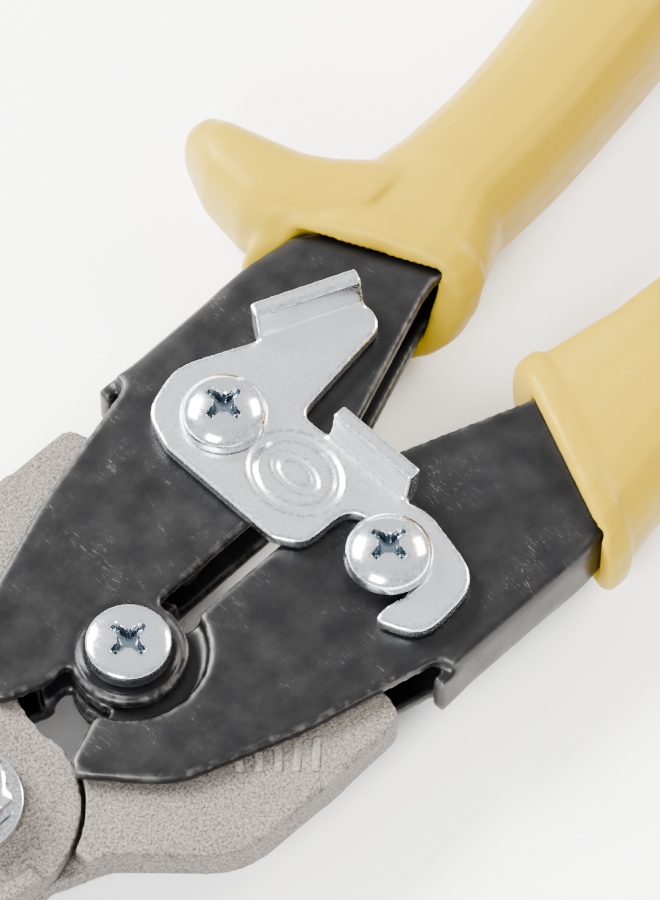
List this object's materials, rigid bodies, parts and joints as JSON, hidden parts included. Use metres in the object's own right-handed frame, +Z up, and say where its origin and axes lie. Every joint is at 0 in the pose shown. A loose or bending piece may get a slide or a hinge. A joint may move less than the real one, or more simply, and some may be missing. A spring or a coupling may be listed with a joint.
{
  "type": "aviation snips",
  "caption": "Compound-action metal snips with crossing forged blades, pressed steel channel handles, plastic grips, a return spring and a hooked latch that holds them shut.",
  "frame": {"origin": "on the axis of the jaw bolt, at the flat end of the bolt, which is level with the undersides of the grips and with the surface that the closed snips lie on", "axes": "+X along the closed blades to their tips, +Y to the left, towards the handle that carries the latch's stud, +Z up through the jaw bolt to the side that the latch is on"},
  "size_m": [0.2517, 0.097, 0.0228],
  "materials": {
    "black_steel": "satin black oxide on pressed steel, finely scratched",
    "forged_steel": "blasted forging, warm grey",
    "zinc": "bright zinc plating",
    "yellow_plastic": "soft dipped plastic, satin",
    "spring_steel": "drawn spring wire"
  },
  "bodies": {
    "right_handle": {"right_channel": "black_steel", "right_grip": "yellow_plastic", "handle_pivot_screw": "zinc", "handle_pivot_spacer": "zinc", "handle_pivot_washer": "zinc", "handle_pivot_nut": "zinc", "latch_pivot_screw": "zinc", "latch_pivot_bush": "zinc", "latch_pivot_washer": "zinc", "latch_pivot_nut": "zinc"},
    "left_handle": {"left_channel": "black_steel", "left_grip": "yellow_plastic", "latch_stud_screw": "zinc", "latch_stud_bush": "zinc", "latch_stud_washer": "zinc", "latch_stud_nut": "zinc"},
    "top_jaw": {"top_jaw": "forged_steel", "jaw_bolt": "zinc", "jaw_bolt_washer": "zinc", "jaw_lock_washer": "zinc", "jaw_bolt_nut": "zinc", "return_spring": "spring_steel"},
    "bottom_jaw": {"bottom_jaw": "forged_steel"},
    "latch": {"latch": "zinc"}
  },
  "joints": [
    {"name": "handles_open", "type": "hinge", "parent": "right_handle", "child": "left_handle", "pos_m": [-0.031, 0, 0.0105], "axis": [0, 0, -1], "range_deg": [0, 32]},
    {"name": "top_jaw_turn", "type": "hinge", "parent": "right_handle", "child": "top_jaw", "pos_m": [-0.064, -0.0155, 0.0105], "axis": [0, 0, -1], "range_deg": [0, 9]},
    {"name": "jaws_open", "type": "hinge", "parent": "top_jaw", "child": "bottom_jaw", "pos_m": [0, 0, 0.0105], "axis": [0, 0, -1], "range_deg": [0, 16], "deforming": ["return_spring"]},
    {"name": "latch_swing", "type": "hinge", "parent": "right_handle", "child": "latch", "pos_m": [-0.064, -0.0155, 0.0172], "axis": [0, 0, 1], "range_deg": [0, 58]}
  ],
  "couplings": [
    {"joint": "top_jaw_turn", "follows": "handles_open", "ratio": 0.25469},
    {"joint": "jaws_open", "follows": "handles_open", "ratio": 0.49062},
    {"joint": "latch_swing", "follows": "handles_open", "ratio": 1.8}
  ]
}
